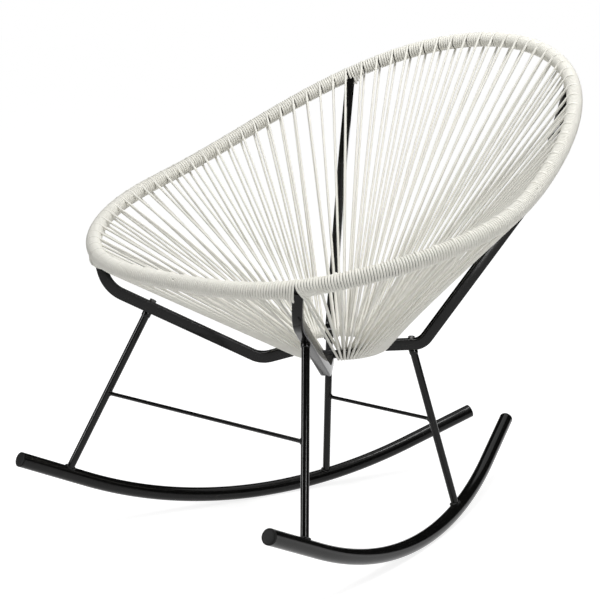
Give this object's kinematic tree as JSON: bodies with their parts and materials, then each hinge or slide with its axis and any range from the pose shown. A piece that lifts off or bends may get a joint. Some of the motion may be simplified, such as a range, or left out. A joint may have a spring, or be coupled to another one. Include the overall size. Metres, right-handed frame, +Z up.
{
  "type": "rocking cord chair",
  "caption": "Lounge chair on two curved rocker tubes: a tilted oval rim wound with cord, with straight cords drawn down from it to a small ring as a bucket seat.",
  "frame": {"origin": "middle of the box round the chair, on the floor that the rockers stand on", "axes": "+Z up, the front of the chair towards -Y, the sitter's left side towards +X"},
  "size_m": [0.8098, 0.9034, 0.8357],
  "materials": {
    "frame_paint": "gloss black powder coat",
    "cord": "satin off-white vinyl cord",
    "plug": "satin black",
    "fastener": "black oxide"
  },
  "bodies": {
    "root": {"rim_tube": "frame_paint", "seat_ring": "frame_paint", "seat_cords_1": "cord", "seat_cords_2": "cord", "seat_cords_3": "cord", "seat_cords_4": "cord", "seat_cords_5": "cord", "seat_cords_6": "cord", "seat_cords_7": "cord", "seat_cords_8": "cord", "seat_cords_9": "cord", "seat_cords_10": "cord", "seat_cords_11": "cord", "seat_cords_12": "cord", "rim_wrap_front_right": "cord", "rim_wrap_rear_right": "cord", "rim_wrap_rear_left": "cord", "rim_wrap_front_left": "cord", "bow_front_right": "frame_paint", "bow_rear_right": "frame_paint", "bow_front_left": "frame_paint", "bow_rear_left": "frame_paint", "rocker_right": "frame_paint", "rocker_left": "frame_paint", "rocker_plug_front_right": "plug", "rocker_plug_rear_right": "plug", "rocker_plug_front_left": "plug", "rocker_plug_rear_left": "plug", "stretcher_front": "frame_paint", "stretcher_rear": "frame_paint", "leg_front_right": "frame_paint", "leg_bolt_front_right": "fastener", "leg_washer_front_right": "fastener", "foot_weld_front_right": "frame_paint", "stretcher_weld_front_right": "frame_paint", "leg_front_left": "frame_paint", "leg_bolt_front_left": "fastener", "leg_washer_front_left": "fastener", "foot_weld_front_left": "frame_paint", "stretcher_weld_front_left": "frame_paint", "leg_rear_right": "frame_paint", "leg_bolt_rear_right": "fastener", "leg_washer_rear_right": "fastener", "foot_weld_rear_right": "frame_paint", "stretcher_weld_rear_right": "frame_paint", "leg_rear_left": "frame_paint", "leg_bolt_rear_left": "fastener", "leg_washer_rear_left": "fastener", "foot_weld_rear_left": "frame_paint", "stretcher_weld_rear_left": "frame_paint"}
  },
  "joints": []
}
